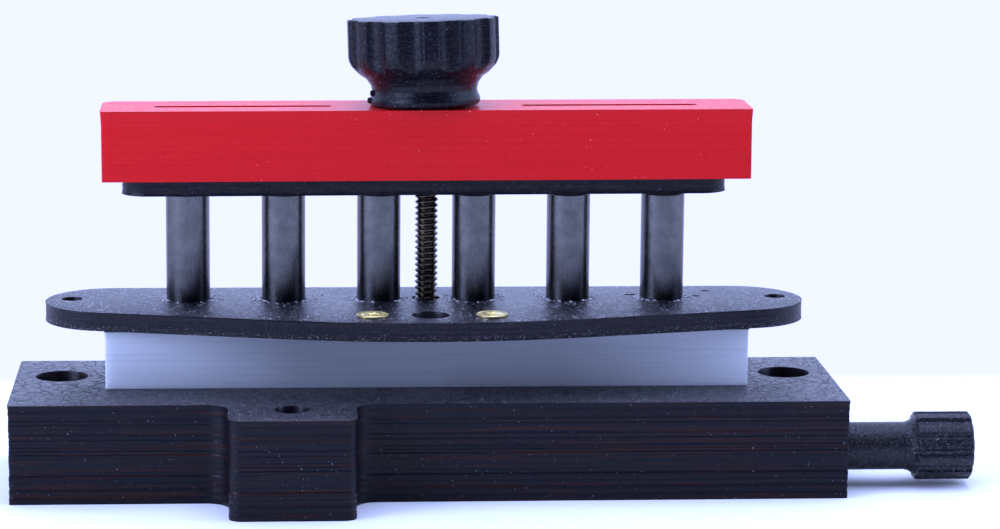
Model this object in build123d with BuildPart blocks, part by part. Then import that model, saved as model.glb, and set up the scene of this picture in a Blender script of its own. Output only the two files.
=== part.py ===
from build123d import *
import os
from math import acos, atan2, cos, hypot, radians, sin

# Edge tuning tool, in millimetres, +Z up. The origin is on the underside, on the axis of the clamp
# screw. +X points at the side thumbscrew and -Y is the front, where the base carries its boss.

# ---- Base ----
base_length = 150.8
base_front = -25.75
base_back = 14.25
base_height = 18.0
base_corner = 1.0
end_hole_x = 67.0
end_hole_radius = 4.65

boss_x = -25.0
boss_width = 22.8
boss_reach = 13.5
boss_corner = 2.4
boss_root = 4.0
boss_hole_radius = 3.0
boss_hole_y = base_front - 4.0

# ---- Stack on the base ----
spacer_length = 117.4
spacer_depth = 23.5
spacer_height = 10.5
shim_thickness = 0.6
plate_thickness = 3.4
plate_half_length = 69.85
plate_back = 11.0
plate_front = -25.3
plate_end_radius = 12.5
plate_front_radius = 110.0
plate_end_hole_x = 65.0
plate_end_hole_radius = 1.85
accessory_hole_radius = 3.3
accessory_y = -17.4
brass_screw_x = 10.75
brass_middle_x = 0.3
brass_screw_y = -17.9

shim_z = base_height + spacer_height
plate_z = shim_z + shim_thickness
plate_top = plate_z + plate_thickness

# ---- Guide posts and the thin plate on them ----
post_count = 6
post_pitch = 17.5
post_radius = 4.0
post_gap = 19.9
post_depth_in_spacer = 6.0
post_depth_in_top = 1.5
post_chamfer = 0.3
glue_gap = 0.05
top_plate_length = 111.2
top_plate_width = 10.0
top_plate_thickness = 3.0
top_plate_z = plate_top + post_gap

# ---- Clamp bar, screw and knob ----
bar_length = 118.6
bar_depth = 15.0
bar_height = 12.9
bar_back_corner = 2.5
bar_front_corner = 0.6
bar_slot_length = 32.5
bar_slot_width = 2.0
bar_slot_depth = 6.0
bar_slot_x = 33.5
bar_slot_y = -0.7
bar_z = top_plate_z + top_plate_thickness
bar_top = bar_z + bar_height

thread_radius = 2.2
thread_root = 1.6
thread_pitch = 1.06
screw_clearance = 0.30
screw_bottom = 8.0
screw_hole_bottom = 6.0
retainer_radius = 4.2
retainer_thickness = 0.8
retainer_room = 0.4
retainer_pocket_depth = 1.6
retainer_mouth = 2.4

washer_radius = 4.5
washer_thickness = 1.0
face_gap = 0.05
washer_pocket_gap = 0.3
knob_z = bar_top + 2 * face_gap
knob_height = 16.8
knob_radius = 13.85
knob_flutes = 12
knob_flute_radius = 3.0
knob_flute_centre = 15.67
knob_flute_start = 18.25
knob_flute_bottom = 5.2
knob_edge = 0.4
knob_foot_radius = 10.15
knob_foot_height = 1.5
knob_waist_radius = 9.6
knob_waist_height = 2.7
knob_shoulder_radius = 11.0
knob_shoulder_height = 5.2
knob_rim_height = 8.8
knob_shoulder_arc = 5.4
knob_screw_recess = 1.2

clamp_nut_flats = 9.5
clamp_nut_thickness = 3.2
nut_gap = 0.1
thread_fit = 0.05
press_gap = 0.01

# ---- Stone pocket in the underside, with its jaw and thumbscrew ----
pocket_left = -50.0
pocket_right = 52.0
pocket_front = -23.5
pocket_back = -5.0
pocket_depth = 10.0
side_y = -14.25
side_z = 7.1
jaw_length = 8.0
jaw_left = 42.5
jaw_gap = 0.3
jaw_socket_depth = 4.0
jaw_corner = 1.0
side_thread_radius = 2.4
side_thread_root = 1.9
side_thread_pitch = 0.8
side_tip_radius = 1.6
shank_radius = 4.4
shank_left = 74.5
shank_right = 87.2
shank_bore_radius = 4.75
shank_bore_depth = 10.6
side_flare_radius = 5.8
side_flare_arc = 2.4
side_head_left = 89.4
side_head_right = 99.4
side_head_radius = 6.25
side_flutes = 12
side_flute_start = 2.0
side_flute_radius = 0.85
side_head_edge = 0.3
side_flute_centre = 6.45
side_screw_buried = 8.0
side_nut_flats = 8.0
side_nut_thickness = 4.0
side_nut_x = 57.5

# ---- Small screws ----
spacer_screw_xs = (-50.0, -17.5, 17.5, 50.0)
spacer_screw_y = 6.0
spacer_screw_radius = 2.0
spacer_screw_head_radius = 3.75
spacer_screw_head = 1.9
spacer_screw_sunk = 0.3
spacer_screw_length = 21.6
spacer_screw_clearance = 0.15
spacer_screw_drive = 2.5
spacer_screw_drive_depth = 1.4
brass_radius = 1.5
brass_head_radius = 2.85
brass_head = 1.5
brass_edge = 0.3
brass_proud = 0.4
brass_length = 3.7
brass_cross_width = 0.7
brass_cross_angle = 70
driven_fit = 0.03

post_xs = [(i - (post_count - 1) / 2) * post_pitch for i in range(post_count)]
end_hole_points = [(-end_hole_x, 0), (end_hole_x, 0)]
plate_hole_points = [(-plate_end_hole_x, 0), (plate_end_hole_x, 0)]
post_points = [(x, 0) for x in post_xs]
spacer_screw_points = [(x, spacer_screw_y) for x in spacer_screw_xs]
brass_screw_points = [(brass_middle_x + side * brass_screw_x, brass_screw_y) for side in (-1, 1)]

os.makedirs("parts", exist_ok=True)


def finish(part, name):
    """Label one finished piece and write it as its own STEP file."""
    part.label = name
    export_step(part, f"parts/{name}.step")


def hex_radius(flats):
    """Corner radius of a hexagon measured across its flats."""
    return flats / 2 / cos(radians(30))


def ring_thread(bottom, top, crest, root, pitch):
    """Points of a threaded rod's half profile, (radius, height), as a stack of ring-shaped crests."""
    points = [(0, bottom), (root, bottom)]
    turns = int((top - bottom) / pitch)
    for i in range(turns):
        low = bottom + i * pitch
        points += [(crest, low + 0.4 * pitch), (crest, low + 0.6 * pitch), (root, low + pitch)]
    return points + [(root, top), (0, top)]


# ---- base_block: printed body with end holes, boss, stone pocket and thumbscrew bore ----
with BuildPart() as base_block:
    with BuildSketch() as base_outline:
        with Locations((0, (base_front + base_back) / 2)):
            Rectangle(base_length, base_back - base_front)
        with Locations((boss_x, base_front - boss_reach / 2)):
            Rectangle(boss_width, boss_reach)
        boss_front_corners = base_outline.vertices().group_by(Axis.Y)[0]
        boss_roots = base_outline.vertices().group_by(Axis.Y)[1].sort_by(Axis.X)[1:3]
        fillet(boss_front_corners, radius=boss_corner)
        fillet(boss_roots, radius=boss_root)
        body_corners = base_outline.vertices().filter_by(lambda v: abs(v.X) > base_length / 2 - 0.01)
        fillet(body_corners, radius=base_corner)
    extrude(amount=base_height)
    with BuildSketch():
        with Locations(*end_hole_points):
            Circle(end_hole_radius)
        with Locations((boss_x, boss_hole_y)):
            Circle(boss_hole_radius)
    extrude(amount=base_height, mode=Mode.SUBTRACT)
    with BuildSketch():
        with Locations(((pocket_left + pocket_right) / 2, (pocket_front + pocket_back) / 2)):
            Rectangle(pocket_right - pocket_left, pocket_back - pocket_front)
    extrude(amount=pocket_depth, mode=Mode.SUBTRACT)
    with BuildSketch(Plane.XY.offset(screw_hole_bottom)):
        Circle(thread_radius + screw_clearance)
    extrude(amount=base_height - screw_hole_bottom, mode=Mode.SUBTRACT)
    with Locations(*[(x, y, 0) for x, y in spacer_screw_points]):
        Cylinder(
            spacer_screw_radius + spacer_screw_clearance,
            base_height,
            align=(Align.CENTER, Align.CENTER, Align.MIN),
            mode=Mode.SUBTRACT,
        )
        Cone(
            spacer_screw_head_radius + spacer_screw_sunk + spacer_screw_clearance,
            spacer_screw_radius + spacer_screw_clearance,
            spacer_screw_head + spacer_screw_sunk,
            align=(Align.CENTER, Align.CENTER, Align.MIN),
            mode=Mode.SUBTRACT,
        )
    with BuildSketch(Plane.YZ.offset(pocket_right)):
        with Locations((side_y, side_z)):
            Circle(side_thread_radius + screw_clearance)
    extrude(amount=base_length / 2 - pocket_right, mode=Mode.SUBTRACT)
    with BuildSketch(Plane.YZ.offset(base_length / 2 - shank_bore_depth)):
        with Locations((side_y, side_z)):
            Circle(shank_bore_radius)
    extrude(amount=shank_bore_depth, mode=Mode.SUBTRACT)
    with BuildSketch():
        with Locations((side_nut_x + side_nut_thickness / 2, side_y)):
            Rectangle(side_nut_thickness + 2 * nut_gap, side_nut_flats + 2 * nut_gap)
    extrude(amount=side_z + hex_radius(side_nut_flats) + nut_gap, mode=Mode.SUBTRACT)
finish(base_block.part, "base_block")

# ---- spacer_block: white block that lifts the guide plate, with the post sockets ----
with BuildPart() as spacer_block:
    with BuildSketch(Plane.XY.offset(base_height)):
        Rectangle(spacer_length, spacer_depth)
    extrude(amount=spacer_height)
    with BuildSketch(Plane.XY.offset(shim_z)):
        with Locations(*post_points):
            Circle(post_radius + glue_gap)
    extrude(amount=-post_depth_in_spacer, mode=Mode.SUBTRACT)
    with BuildSketch(Plane.XY.offset(base_height)):
        Circle(thread_radius + screw_clearance)
    extrude(amount=spacer_height, mode=Mode.SUBTRACT)
    with BuildSketch(Plane.XY.offset(base_height)):
        RegularPolygon(hex_radius(clamp_nut_flats + 2 * nut_gap), 6)
    extrude(amount=clamp_nut_thickness + nut_gap, mode=Mode.SUBTRACT)
    with BuildSketch(Plane.XY.offset(base_height)):
        with Locations(*spacer_screw_points):
            Circle(spacer_screw_radius + driven_fit)
    extrude(amount=spacer_screw_sunk + spacer_screw_length - base_height + nut_gap, mode=Mode.SUBTRACT)
finish(spacer_block.part, "spacer_block")

# ---- angle_shim: thin sheet that sets the guide plate's height ----
with BuildPart() as angle_shim:
    with BuildSketch(Plane.XY.offset(shim_z)):
        Rectangle(spacer_length, spacer_depth)
        with Locations(*post_points):
            Circle(post_radius + glue_gap, mode=Mode.SUBTRACT)
        Circle(thread_radius + screw_clearance, mode=Mode.SUBTRACT)
    extrude(amount=shim_thickness)
finish(angle_shim.part, "angle_shim")

# ---- guide_plate: straight back, round ends, front bulging forward in the middle ----
end_x = plate_half_length - plate_end_radius
end_y = plate_back - plate_end_radius
bulge_y = plate_front + plate_front_radius
# The straight front stretches touch both the bulge and the end arcs at this angle.
run = hypot(end_x, bulge_y - end_y)
slope = atan2(end_x, bulge_y - end_y) - acos((plate_front_radius - plate_end_radius) / run)
bulge_side = (plate_front_radius * sin(slope), bulge_y - plate_front_radius * cos(slope))
end_side = (end_x + plate_end_radius * sin(slope), end_y - plate_end_radius * cos(slope))

with BuildPart() as guide_plate:
    with BuildSketch(Plane.XY.offset(plate_z)):
        with BuildLine():
            Line((-end_x, plate_back), (end_x, plate_back))
            ThreePointArc((end_x, plate_back), (plate_half_length, end_y), end_side)
            Line(end_side, bulge_side)
            ThreePointArc(bulge_side, (0, plate_front), (-bulge_side[0], bulge_side[1]))
            Line((-bulge_side[0], bulge_side[1]), (-end_side[0], end_side[1]))
            ThreePointArc((-end_side[0], end_side[1]), (-plate_half_length, end_y), (-end_x, plate_back))
        make_face()
        with Locations(*post_points):
            Circle(post_radius + glue_gap, mode=Mode.SUBTRACT)
        with Locations(*plate_hole_points):
            Circle(plate_end_hole_radius, mode=Mode.SUBTRACT)
        with Locations((0, accessory_y)):
            Circle(accessory_hole_radius, mode=Mode.SUBTRACT)
        Circle(thread_radius + screw_clearance, mode=Mode.SUBTRACT)
    extrude(amount=plate_thickness)
    with Locations(*[(x, y, plate_top) for x, y in brass_screw_points]):
        Cylinder(
            brass_radius + driven_fit,
            plate_thickness,
            align=(Align.CENTER, Align.CENTER, Align.MAX),
            mode=Mode.SUBTRACT,
        )
        Cone(
            brass_radius + driven_fit,
            brass_head_radius + brass_edge - brass_proud + driven_fit,
            brass_head - brass_proud,
            align=(Align.CENTER, Align.CENTER, Align.MAX),
            mode=Mode.SUBTRACT,
        )
finish(guide_plate.part, "guide_plate")

# ---- guide_post_1 to guide_post_6: ground steel pins glued into the plates ----
post_bottom = shim_z - post_depth_in_spacer + glue_gap
post_top = top_plate_z + post_depth_in_top - glue_gap
for number, x in enumerate(post_xs, start=1):
    with BuildPart() as guide_post:
        with BuildSketch(Plane.XY.offset(post_bottom)):
            with Locations((x, 0)):
                Circle(post_radius)
        extrude(amount=post_top - post_bottom)
        chamfer(guide_post.edges(), length=post_chamfer)
    finish(guide_post.part, f"guide_post_{number}")

# ---- top_plate: thin plate that ties the posts and carries the clamp bar ----
with BuildPart() as top_plate:
    with BuildSketch(Plane.XY.offset(top_plate_z)):
        SlotOverall(top_plate_length, top_plate_width)
        Circle(thread_radius + screw_clearance, mode=Mode.SUBTRACT)
    extrude(amount=top_plate_thickness)
    with BuildSketch(Plane.XY.offset(top_plate_z)):
        with Locations(*post_points):
            Circle(post_radius + glue_gap)
    extrude(amount=post_depth_in_top, mode=Mode.SUBTRACT)
finish(top_plate.part, "top_plate")

# ---- clamp_nut: hexagon nut caught under the spacer block ----
with BuildPart() as clamp_nut:
    with BuildSketch(Plane.XY.offset(base_height)):
        RegularPolygon(hex_radius(clamp_nut_flats), 6)
        Circle(thread_radius + thread_fit, mode=Mode.SUBTRACT)
    extrude(amount=clamp_nut_thickness)
finish(clamp_nut.part, "clamp_nut")

# ---- spacer_screws: four countersunk screws from the underside into the spacer block ----
with BuildPart() as spacer_screws:
    with Locations(*[(x, y, spacer_screw_sunk) for x, y in spacer_screw_points]):
        Cylinder(
            spacer_screw_radius,
            spacer_screw_length,
            align=(Align.CENTER, Align.CENTER, Align.MIN),
        )
        Cone(
            spacer_screw_head_radius,
            spacer_screw_radius,
            spacer_screw_head,
            align=(Align.CENTER, Align.CENTER, Align.MIN),
        )
    with BuildSketch(Plane.XY.offset(spacer_screw_sunk)):
        with Locations(*spacer_screw_points):
            RegularPolygon(hex_radius(spacer_screw_drive), 6)
    extrude(amount=spacer_screw_drive_depth, mode=Mode.SUBTRACT)
finish(spacer_screws.part, "spacer_screws")

# ---- plate_screw_left and plate_screw_right: brass countersunk screws in the guide plate ----
for side, (x, y) in zip(("left", "right"), brass_screw_points):
    head_top = plate_top + brass_proud
    with BuildPart() as plate_screw:
        with BuildSketch(Plane.XZ.offset(-y)):
            with BuildLine():
                Polyline(
                    (x, head_top - brass_length),
                    (x + brass_radius, head_top - brass_length),
                    (x + brass_radius, head_top - brass_head),
                    (x + brass_head_radius, head_top - brass_edge),
                    (x + brass_head_radius - brass_edge, head_top),
                    (x, head_top),
                    close=True,
                )
            make_face()
        revolve(axis=Axis((x, y, 0), (0, 0, 1)))
        with BuildSketch(Plane.XY.offset(head_top)):
            with Locations((x, y)):
                Rectangle(brass_cross_width, 2 * brass_radius, rotation=brass_cross_angle)
                Rectangle(2 * brass_radius, brass_cross_width, rotation=brass_cross_angle)
        extrude(amount=-brass_cross_width, mode=Mode.SUBTRACT)
    finish(plate_screw.part, f"plate_screw_{side}")

# ---- clamp_bar: red bar that presses down on the thin plate, with two slots in its top ----
with BuildPart() as clamp_bar:
    with BuildSketch(Plane.XY.offset(bar_z)) as bar_outline:
        Rectangle(bar_length, bar_depth)
        fillet(bar_outline.vertices().group_by(Axis.Y)[-1], radius=bar_back_corner)
        fillet(bar_outline.vertices().group_by(Axis.Y)[0], radius=bar_front_corner)
        Circle(thread_radius + screw_clearance, mode=Mode.SUBTRACT)
    extrude(amount=bar_height)
    with BuildSketch(Plane.XY.offset(bar_top)):
        with Locations((-bar_slot_x, bar_slot_y), (bar_slot_x, bar_slot_y)):
            SlotOverall(bar_slot_length, bar_slot_width)
    extrude(amount=-bar_slot_depth, mode=Mode.SUBTRACT)
    with BuildSketch(Plane.XY.offset(bar_z)):
        Circle(retainer_radius + retainer_room)
    extrude(amount=retainer_pocket_depth, mode=Mode.SUBTRACT)
finish(clamp_bar.part, "clamp_bar")

# ---- thrust_washer: on the clamp bar, in a pocket in the knob's foot ----
with BuildPart() as thrust_washer:
    with BuildSketch(Plane.XY.offset(bar_top + face_gap)):
        Circle(washer_radius)
        Circle(thread_radius + screw_clearance, mode=Mode.SUBTRACT)
    extrude(amount=washer_thickness)
finish(thrust_washer.part, "thrust_washer")

# ---- clamp_knob: fluted head on a waisted neck with a thin foot flange, over the washer ----
knob_top = knob_z + knob_height
with BuildPart() as clamp_knob:
    with BuildSketch(Plane.XZ):
        with BuildLine():
            foot = Polyline(
                (thread_radius, knob_top),
                (thread_radius, knob_z),
                (knob_foot_radius - knob_edge, knob_z),
                (knob_foot_radius, knob_z + knob_edge),
                (knob_foot_radius, knob_z + knob_foot_height),
            )
            neck = ThreePointArc(
                foot @ 1,
                (knob_waist_radius, knob_z + knob_waist_height),
                (knob_shoulder_radius, knob_z + knob_shoulder_height),
            )
            shoulder = RadiusArc(neck @ 1, (knob_radius, knob_z + knob_rim_height), knob_shoulder_arc)
            Polyline(
                shoulder @ 1,
                (knob_radius, knob_top - knob_edge),
                (knob_radius - knob_edge, knob_top),
                (thread_radius, knob_top),
            )
        make_face()
    revolve(axis=Axis.Z)
    with BuildSketch(Plane.XY.offset(knob_z + knob_flute_bottom)):
        with PolarLocations(knob_flute_centre, knob_flutes, start_angle=knob_flute_start):
            Circle(knob_flute_radius)
    extrude(amount=knob_height, mode=Mode.SUBTRACT)
    with BuildSketch(Plane.XY.offset(knob_z)):
        Circle(washer_radius + washer_pocket_gap)
    extrude(amount=washer_thickness, mode=Mode.SUBTRACT)
finish(clamp_knob.part, "clamp_knob")

# ---- clamp_screw: threaded rod fixed in the knob, down through the stack to its nut ----
with BuildPart() as clamp_screw:
    with BuildSketch(Plane.XZ):
        with BuildLine():
            Polyline(
                *ring_thread(
                    screw_bottom,
                    knob_top - knob_screw_recess,
                    thread_radius - press_gap,
                    thread_root,
                    thread_pitch,
                ),
                close=True,
            )
        make_face()
    revolve(axis=Axis.Z)
finish(clamp_screw.part, "clamp_screw")

# ---- bar_retainer: clip on the screw that lifts the bar with the knob ----
with BuildPart() as bar_retainer:
    with BuildSketch(Plane.XY.offset(bar_z + retainer_pocket_depth - retainer_thickness - face_gap)):
        Circle(retainer_radius)
        Circle(thread_radius, mode=Mode.SUBTRACT)
        with Locations((0, -retainer_radius)):
            Rectangle(retainer_mouth, 2 * retainer_radius, mode=Mode.SUBTRACT)
    extrude(amount=retainer_thickness)
finish(bar_retainer.part, "bar_retainer")

# ---- side_nut: hexagon nut dropped into its slot from the underside ----
with BuildPart() as side_nut:
    with BuildSketch(Plane.YZ.offset(side_nut_x)):
        with Locations((side_y, side_z)):
            RegularPolygon(hex_radius(side_nut_flats), 6, rotation=90)
            Circle(side_thread_radius + thread_fit, mode=Mode.SUBTRACT)
    extrude(amount=side_nut_thickness)
finish(side_nut.part, "side_nut")

# ---- side_jaw: block that the thumbscrew pushes against a stone in the pocket ----
with BuildPart() as side_jaw:
    with BuildSketch(Plane.XY.offset(jaw_gap)):
        with Locations((jaw_left + jaw_length / 2, (pocket_front + pocket_back) / 2)):
            RectangleRounded(jaw_length, pocket_back - pocket_front - 2 * jaw_gap, jaw_corner)
    extrude(amount=pocket_depth - 2 * jaw_gap)
    with BuildSketch(Plane.YZ.offset(jaw_left + jaw_length - jaw_socket_depth)):
        with Locations((side_y, side_z)):
            Circle(side_tip_radius + thread_fit)
    extrude(amount=jaw_socket_depth, mode=Mode.SUBTRACT)
finish(side_jaw.part, "side_jaw")

# The thumbscrew is turned about its own axis, so its half profiles are drawn from that axis.
side_axis = Axis((0, side_y, side_z), (1, 0, 0))
side_plane = Plane(origin=(0, side_y, side_z), x_dir=(1, 0, 0), z_dir=(0, -1, 0))

# ---- side_knob: slim shank flaring into a finely fluted head ----
with BuildPart() as side_knob:
    with BuildSketch(side_plane):
        with BuildLine():
            shank = Polyline(
                (shank_left, side_thread_radius),
                (shank_left, shank_radius),
                (shank_right, shank_radius),
            )
            flare = RadiusArc(shank @ 1, (side_head_left, side_flare_radius), -side_flare_arc)
            Polyline(
                flare @ 1,
                (side_head_left, side_head_radius - side_head_edge),
                (side_head_left + side_head_edge, side_head_radius),
                (side_head_right - side_head_edge, side_head_radius),
                (side_head_right, side_head_radius - side_head_edge),
                (side_head_right, 0),
                (shank_right + side_screw_buried, 0),
                (shank_right + side_screw_buried, side_thread_radius),
                (shank_left, side_thread_radius),
            )
        make_face()
    revolve(axis=side_axis)
    with BuildSketch(Plane.YZ.offset(side_head_left)):
        with Locations((side_y, side_z)):
            with PolarLocations(side_flute_centre, side_flutes, start_angle=side_flute_start):
                Circle(side_flute_radius)
    extrude(amount=side_head_right - side_head_left, mode=Mode.SUBTRACT)
finish(side_knob.part, "side_knob")

# ---- side_screw: threaded rod fixed in the side knob, with a plain tip in the jaw ----
side_thread_left = jaw_left + jaw_length + thread_fit
side_tip_left = jaw_left + jaw_length - jaw_socket_depth + thread_fit
side_rod = ring_thread(
    side_thread_left,
    shank_right + side_screw_buried,
    side_thread_radius - press_gap,
    side_thread_root,
    side_thread_pitch,
)
side_profile = [(height, radius) for radius, height in side_rod[1:]]
with BuildPart() as side_screw:
    with BuildSketch(side_plane):
        with BuildLine():
            Polyline(
                (side_tip_left, 0),
                (side_tip_left, side_tip_radius),
                (side_thread_left, side_tip_radius),
                *side_profile,
                close=True,
            )
        make_face()
    revolve(axis=side_axis)
finish(side_screw.part, "side_screw")
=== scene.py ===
"""Looks of the edge tuning tool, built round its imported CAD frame. Shapes are worked out in mm."""

import math
import random

import bmesh
import bpy
from mathutils import Euler, Matrix, Vector, noise
from mathutils.geometry import delaunay_2d_cdt


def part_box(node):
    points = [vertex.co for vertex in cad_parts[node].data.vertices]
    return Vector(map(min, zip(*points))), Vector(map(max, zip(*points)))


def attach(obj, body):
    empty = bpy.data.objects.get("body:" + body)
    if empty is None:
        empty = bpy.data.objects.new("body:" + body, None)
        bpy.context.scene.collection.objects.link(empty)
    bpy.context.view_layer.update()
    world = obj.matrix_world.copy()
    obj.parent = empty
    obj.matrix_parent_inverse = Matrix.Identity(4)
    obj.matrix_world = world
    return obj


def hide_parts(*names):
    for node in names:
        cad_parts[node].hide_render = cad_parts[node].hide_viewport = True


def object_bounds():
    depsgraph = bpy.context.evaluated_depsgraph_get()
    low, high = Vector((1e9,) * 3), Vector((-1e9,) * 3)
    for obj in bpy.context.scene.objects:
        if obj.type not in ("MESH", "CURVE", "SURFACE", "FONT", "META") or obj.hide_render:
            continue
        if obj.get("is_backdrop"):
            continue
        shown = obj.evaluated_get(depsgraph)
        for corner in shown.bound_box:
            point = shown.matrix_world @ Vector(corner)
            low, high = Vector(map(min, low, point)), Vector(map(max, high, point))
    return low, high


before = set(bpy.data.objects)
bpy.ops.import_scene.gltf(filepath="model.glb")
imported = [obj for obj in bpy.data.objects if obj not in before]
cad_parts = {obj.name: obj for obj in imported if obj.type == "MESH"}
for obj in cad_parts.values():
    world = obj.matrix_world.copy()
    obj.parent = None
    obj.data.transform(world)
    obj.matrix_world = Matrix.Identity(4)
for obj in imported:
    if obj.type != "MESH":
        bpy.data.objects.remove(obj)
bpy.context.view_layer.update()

MM = 0.001
LAYER = 0.32
SAME_POINT = 1e-4
WELD = 1e-5
SLIVER = 1e-6
random.seed(11)


def box_mm(node):
    """Lowest and highest corner of a CAD node, in mm."""
    low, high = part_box(node)
    return low / MM, high / MM


def middle(node):
    """The x and y of the middle of a CAD node, in mm."""
    low, high = box_mm(node)
    return (low.x + high.x) / 2, (low.y + high.y) / 2


# ---- Mesh helpers ----


def arc_steps(turn, radius):
    """How many steps an arc is drawn in: more for a larger radius, and none for a sharp corner."""
    per_radian = max(2.2, math.sqrt(radius) * 2.6)
    return max(1, round(abs(turn) * per_radian)) if radius else 0


def rounded(corners, spacing=2.0):
    """A closed outline through corners (x, y, radius), anticlockwise, with its straight runs divided."""
    outline = []
    count = len(corners)
    for i, (x, y, radius) in enumerate(corners):
        here = Vector((x, y))
        before = Vector(corners[i - 1][:2])
        after = Vector(corners[(i + 1) % count][:2])
        way_in = (here - before).normalized()
        way_out = (after - here).normalized()
        turn = -way_in.angle_signed(way_out)
        reach = radius * abs(math.tan(turn / 2))
        start = here - way_in * reach
        if outline:
            outline += divided(outline[-1], start, spacing)
        centre = start + Vector((-way_in.y, way_in.x)) * math.copysign(radius, turn)
        steps = arc_steps(turn, radius)
        for k in range(steps + 1):
            angle = turn * k / steps if steps else 0.0
            arm = start - centre
            arm.rotate(Matrix.Rotation(angle, 2))
            outline.append(centre + arm)
    outline += divided(outline[-1], outline[0], spacing)
    return [point for i, point in enumerate(outline) if (point - outline[i - 1]).length > SAME_POINT]


def divided(start, end, spacing):
    """Points strictly between start and end, about spacing apart."""
    steps = max(1, round((end - start).length / spacing))
    return [start.lerp(end, k / steps) for k in range(1, steps)]


def turns(count):
    """Cosine and sine at even steps round a full circle."""
    angles = [2 * math.pi * k / count for k in range(count)]
    return [(math.cos(angle), math.sin(angle)) for angle in angles]


def circle(radius, centre=(0, 0), count=64):
    """A closed circle of points, anticlockwise."""
    return [Vector((centre[0] + radius * c, centre[1] + radius * s)) for c, s in turns(count)]


def hole(centre, levels, count=48):
    """Rings of a round hole at (x, y) from its (height, radius) levels, bottom first."""
    return [[(*point, z) for point in circle(radius, centre, count)] for z, radius in levels]


def upright(outline, low, high):
    """Rings of a plain wall from low to high."""
    return [[(*point, z) for point in outline] for z in (low, high)]


def normals(outline):
    """Outward unit normal at each point of an anticlockwise outline."""
    found = []
    for i, point in enumerate(outline):
        along = (outline[(i + 1) % len(outline)] - point).normalized()
        along += (point - outline[i - 1]).normalized()
        along.normalize()
        found.append(Vector((along.y, -along.x)))
    return found


def ring(outline, z, grow=0.0, wobble=0.0, seed=0.0):
    """The outline at height z, moved outward by grow, then unevenly inward by about wobble."""
    across, upward = 1.1, 0.7
    points = []
    for point, normal in zip(outline, normals(outline)):
        out = grow
        if wobble:
            unevenness = noise.noise((point.x * across + seed, point.y * across, z * upward))
            out -= wobble * max(0.0, 0.5 + 0.9 * unevenness)
        points.append((*(point + normal * out), z))
    return points


def printed_wall(
    outline, low, high, ridge=0.02, wander=0.02, lip=0.0, lip_height=1.4, foot=0.0, rough=0.0
):
    """Rings of a 3D-printed wall from low to high, none outside the outline.

    Each layer bulges by ridge and stands back a little from line, by wander. The wall flares out by lip
    at its top and by foot at its bottom, and rough pits it. Its two edges are slightly rounded."""
    bottom_round, top_round, bead, edge_seed = 0.08, 0.07, 0.05, 3.0
    layers = max(2, round((high - low) / LAYER))
    step = (high - low) / layers
    inset = max(lip, foot)
    rings = [ring(outline, low, foot - inset - bottom_round)]
    shift = 0.0
    for k in range(layers):
        z = low + k * step
        last = shift
        shift = -min(3 * wander, abs(0.7 * last + random.gauss(0, wander)))
        to_top = (high - z - 0.5 * step) / lip_height
        to_bottom = (z + 0.5 * step - low) / (2 * step)
        flare = max(lip * (1 - min(1.0, to_top) ** 0.5), foot * (1 - min(1.0, to_bottom))) - inset
        if k:
            rings.append(ring(outline, z, flare + (last + shift) / 2 - ridge, rough * 0.3, k))
        rings.append(ring(outline, z + step * 0.5, flare + shift, rough, k))
    rings.append(ring(outline, high - bead, lip - inset, rough, edge_seed))
    rings.append(ring(outline, high, lip - inset - top_round, rough * 2, edge_seed))
    return rings


def skin(bm, rings):
    """Quads between closed rings of equal length."""
    rows = [[bm.verts.new(p) for p in points] for points in rings]
    for lower, upper in zip(rows, rows[1:]):
        for i in range(len(lower)):
            j = (i + 1) % len(lower)
            bm.faces.new((lower[i], lower[j], upper[j], upper[i]))


def inside(x, y, loop):
    """Whether a point lies inside a closed loop."""
    odd = False
    for i, (x2, y2, *_) in enumerate(loop):
        x1, y1 = loop[i - 1][:2]
        if (y1 > y) != (y2 > y) and x < (x2 - x1) * (y - y1) / (y2 - y1) + x1:
            odd = not odd
    return odd


def close_flat(bm, outer, holes=()):
    """Triangles over a flat ring of points, leaving out the holes."""
    loops = [outer, *holes]
    points, edges = [], []
    for loop in loops:
        first = len(points)
        points += [Vector(p[:2]) for p in loop]
        edges += [(first + i, first + (i + 1) % len(loop)) for i in range(len(loop))]
    verts, _, faces, *_ = delaunay_2d_cdt(points, edges, [], 1, SLIVER)
    z = outer[0][2]
    made = [bm.verts.new((v.x, v.y, z)) for v in verts]
    boxes = [
        (min(p[0] for p in h), max(p[0] for p in h), min(p[1] for p in h), max(p[1] for p in h), h)
        for h in holes
    ]
    for face in faces:
        x = sum(verts[i].x for i in face) / 3
        y = sum(verts[i].y for i in face) / 3
        if any(a < x < b and c < y < d and inside(x, y, h) for a, b, c, d, h in boxes):
            continue
        bm.faces.new([made[i] for i in face])


def solid(bm, walls, holes=()):
    """A closed body from the rings of its outer wall and of each hole, bottom ring first."""
    bottom, top = walls[0][0][2], walls[-1][0][2]
    skin(bm, walls)
    for rings in holes:
        skin(bm, rings)
        if rings[0][0][2] > bottom:
            close_flat(bm, rings[0])
        if rings[-1][0][2] < top:
            close_flat(bm, rings[-1])
    close_flat(bm, walls[0], [h[0] for h in holes if h[0][0][2] == bottom])
    close_flat(bm, walls[-1], [h[-1] for h in holes if h[-1][0][2] == top])


def soft_min(first, second, width):
    """The smaller of two radii, with the corner between them rounded over width."""
    near = max(width - abs(first - second), 0.0) / width
    return min(first, second) - near * near * width / 4


def fluted(radius, angle, count, start, centre, flute, rounding):
    """The radius at an angle in degrees, less the round flutes cut on a circle of the given centre."""
    pitch = 360 / count
    off = math.radians((angle - start + pitch / 2) % pitch - pitch / 2)
    inner = flute**2 - (centre * math.sin(off)) ** 2
    edge = centre * math.cos(off) - math.sqrt(inner) if inner > 0 else radius + rounding
    return soft_min(radius, edge, rounding)


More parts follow.
